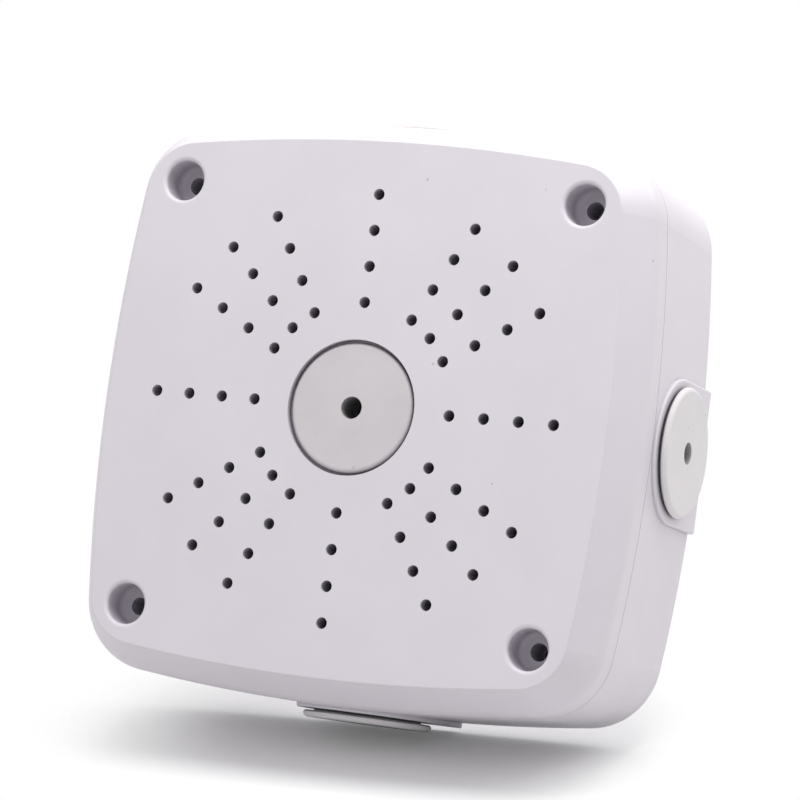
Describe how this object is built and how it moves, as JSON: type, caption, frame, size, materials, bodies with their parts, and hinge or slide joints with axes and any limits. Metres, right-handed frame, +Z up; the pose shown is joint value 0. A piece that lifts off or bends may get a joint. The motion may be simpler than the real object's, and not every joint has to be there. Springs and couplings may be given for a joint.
{
  "type": "junction box",
  "caption": "Square surface-mounted junction box with bowed sides, a bevelled screw-on cover with rings of camera fixing holes, and cable entries closed by rubber plugs.",
  "frame": {"origin": "centre of the wall screw pattern on the rear face, on the wall's surface", "axes": "+Y into the wall, -Y out through the cover, +Z up, +X to the right seen from the front"},
  "size_m": [0.1422, 0.0517, 0.1422],
  "materials": {
    "shell": "moulded white plastic with a satin gloss",
    "grey_rubber": "light grey rubber, matt",
    "white_rubber": "off-white rubber, matt",
    "seal": "dark sealing cord"
  },
  "bodies": {
    "root": {"base": "shell", "cover": "shell", "seal": "seal", "centre_plug": "grey_rubber", "right_plug": "white_rubber", "left_plug": "white_rubber", "top_plug": "white_rubber", "bottom_plug": "white_rubber", "rear_plug": "grey_rubber"}
  },
  "joints": []
}
